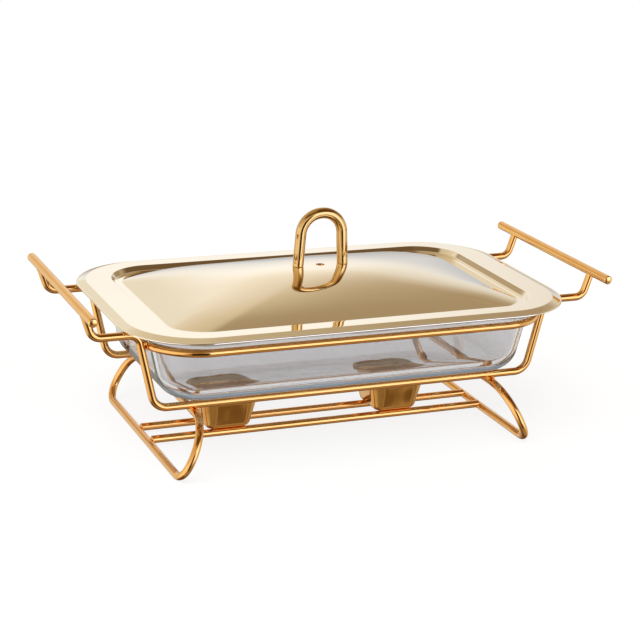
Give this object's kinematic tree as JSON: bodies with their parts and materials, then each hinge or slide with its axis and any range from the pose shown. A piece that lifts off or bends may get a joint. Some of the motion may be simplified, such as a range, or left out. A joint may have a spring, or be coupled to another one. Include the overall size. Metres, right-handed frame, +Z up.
{
  "type": "chafing dish",
  "caption": "Wire-stand chafing dish: glass casserole under a lift-off crowned lid with an arch handle, over square burner cups that slide on rails.",
  "frame": {"origin": "middle of the footprint, on the surface that the foot bars stand on", "axes": "+X along the dish towards the right end handle, +Y to the rear, +Z up"},
  "size_m": [0.4908, 0.258, 0.2052],
  "materials": {
    "gold_wire": "polished gold-coloured plating on steel wire",
    "satin_gold": "satin gold-coloured plating on steel rod",
    "champagne_sheet": "mirror-polished champagne-gold steel sheet",
    "cup_sheet": "polished gold-coloured steel sheet",
    "screw_steel": "plain steel",
    "clear_glass": "clear pressed glass"
  },
  "bodies": {
    "stand": {"front_side_wire": "gold_wire", "rear_side_wire": "gold_wire", "rim_ring": "gold_wire", "left_leg_loop": "gold_wire", "right_leg_loop": "gold_wire", "front_burner_rail": "gold_wire", "rear_burner_rail": "gold_wire", "left_handle_bar": "satin_gold", "right_handle_bar": "satin_gold"},
    "dish": {"glass_dish": "clear_glass"},
    "lid": {"lid": "champagne_sheet", "lid_handle": "gold_wire", "lid_handle_screws": "screw_steel"},
    "left_cup": {"left_burner_cup": "cup_sheet"},
    "right_cup": {"right_burner_cup": "cup_sheet"}
  },
  "joints": [
    {"name": "dish_lift", "type": "slide", "parent": "stand", "child": "dish", "axis": [0, 0, 1], "range_m": [0, 0.11]},
    {"name": "lid_lift", "type": "slide", "parent": "dish", "child": "lid", "axis": [0, 0, 1], "range_m": [0, 0.09]},
    {"name": "left_cup_slide", "type": "slide", "parent": "stand", "child": "left_cup", "axis": [1, 0, 0], "range_m": [-0.045, 0.045]},
    {"name": "right_cup_slide", "type": "slide", "parent": "stand", "child": "right_cup", "axis": [1, 0, 0], "range_m": [-0.045, 0.045]}
  ]
}
